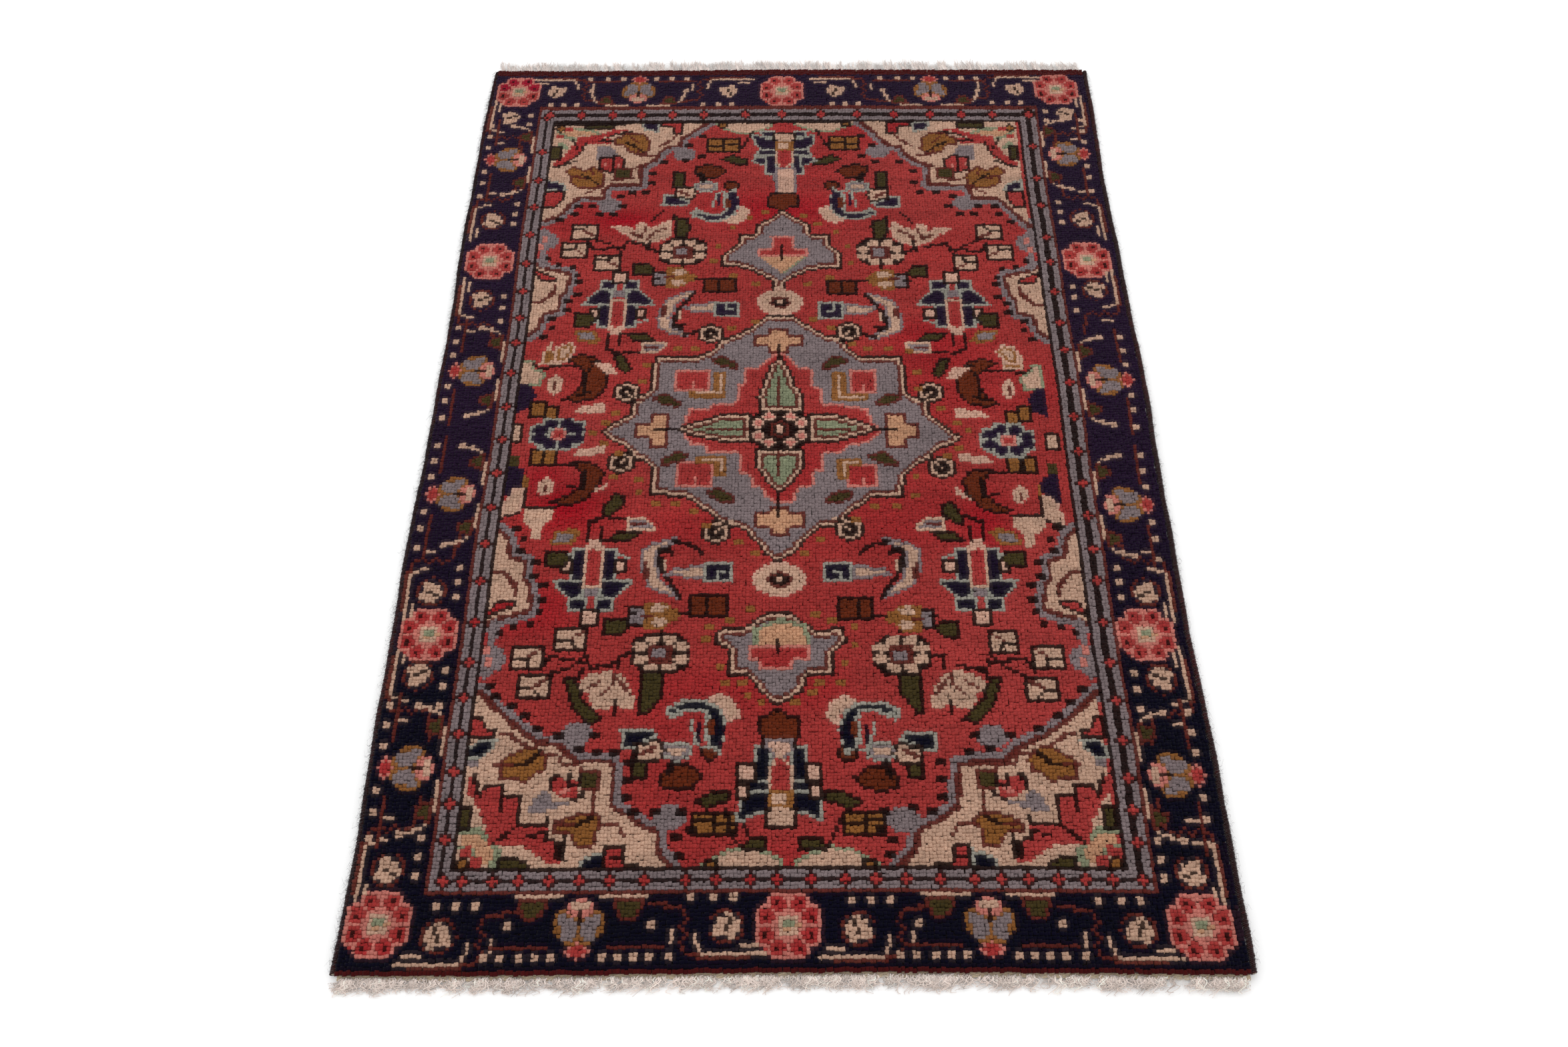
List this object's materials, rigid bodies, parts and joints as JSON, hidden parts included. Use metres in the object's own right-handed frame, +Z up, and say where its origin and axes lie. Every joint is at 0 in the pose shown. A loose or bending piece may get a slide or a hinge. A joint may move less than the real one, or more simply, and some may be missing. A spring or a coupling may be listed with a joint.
{
  "type": "area rug",
  "caption": "Hand-knotted rectangular wool rug with a medallion, dark border with rosettes, bound sides and a cotton fringe at both ends.",
  "frame": {"origin": "middle of the rug's underside, midway between the two woven ends and the two sides, on the floor", "axes": "+Y along the length, towards the end with the longer fringe; +Z up, out of the pile; +X across, to the right when looking along +Y"},
  "size_m": [0.9996, 1.565, 0.0105],
  "materials": {
    "navy_wool": "dyed wool pile, dark navy, matt with a soft sheen along the lie of the pile",
    "madder_wool": "dyed wool pile, madder red with streaks of lighter and deeper red",
    "rose_wool": "dyed wool pile, rose red",
    "ivory_wool": "undyed and lightly dyed wool pile, warm ivory",
    "slate_wool": "dyed wool pile, greyed slate blue",
    "mint_wool": "dyed wool pile, pale mint",
    "end_band_wool": "dyed wool pile, dark red, at both ends of the rug",
    "overcast_wool": "dark brown wool wrapped tightly round the side cords",
    "warp_cotton": "plain woven undyed cotton, matt",
    "fringe_cotton": "loose twisted ends of undyed cotton warps"
  },
  "bodies": {
    "root": {"ground_weave": "warp_cotton", "selvedge_cord_left": "warp_cotton", "selvedge_overcast_left": "overcast_wool", "selvedge_cord_right": "warp_cotton", "selvedge_overcast_right": "overcast_wool", "kilim_end_near": "warp_cotton", "fringe_near": "fringe_cotton", "end_band_near": "end_band_wool", "kilim_end_far": "warp_cotton", "fringe_far": "fringe_cotton", "end_band_far": "end_band_wool", "rosette_left_1": "rose_wool", "palmette_left_2": "slate_wool", "rosette_left_3": "rose_wool", "palmette_left_4": "slate_wool", "palmette_left_5": "slate_wool", "rosette_left_6": "rose_wool", "palmette_left_7": "slate_wool", "rosette_left_8": "rose_wool", "border_left": "navy_wool", "guard_left": "slate_wool", "rosette_right_1": "rose_wool", "palmette_right_2": "slate_wool", "rosette_right_3": "rose_wool", "palmette_right_4": "slate_wool", "palmette_right_5": "slate_wool", "rosette_right_6": "rose_wool", "palmette_right_7": "slate_wool", "rosette_right_8": "rose_wool", "border_right": "navy_wool", "guard_right": "slate_wool", "rosette_near_middle": "rose_wool", "palmette_near_left": "slate_wool", "corner_near_left": "ivory_wool", "side_bracket_near_left": "ivory_wool", "palmette_near_right": "slate_wool", "corner_near_right": "ivory_wool", "side_bracket_near_right": "ivory_wool", "border_near": "navy_wool", "guard_near": "slate_wool", "pendant_near": "slate_wool", "rosette_far_middle": "rose_wool", "palmette_far_left": "slate_wool", "corner_far_left": "ivory_wool", "side_bracket_far_left": "ivory_wool", "palmette_far_right": "slate_wool", "corner_far_right": "ivory_wool", "side_bracket_far_right": "ivory_wool", "border_far": "navy_wool", "guard_far": "slate_wool", "pendant_far": "slate_wool", "field_pile": "madder_wool", "medallion_pile": "slate_wool", "medallion_lozenge": "rose_wool", "medallion_star": "ivory_wool", "medallion_heart": "mint_wool"}
  },
  "joints": []
}
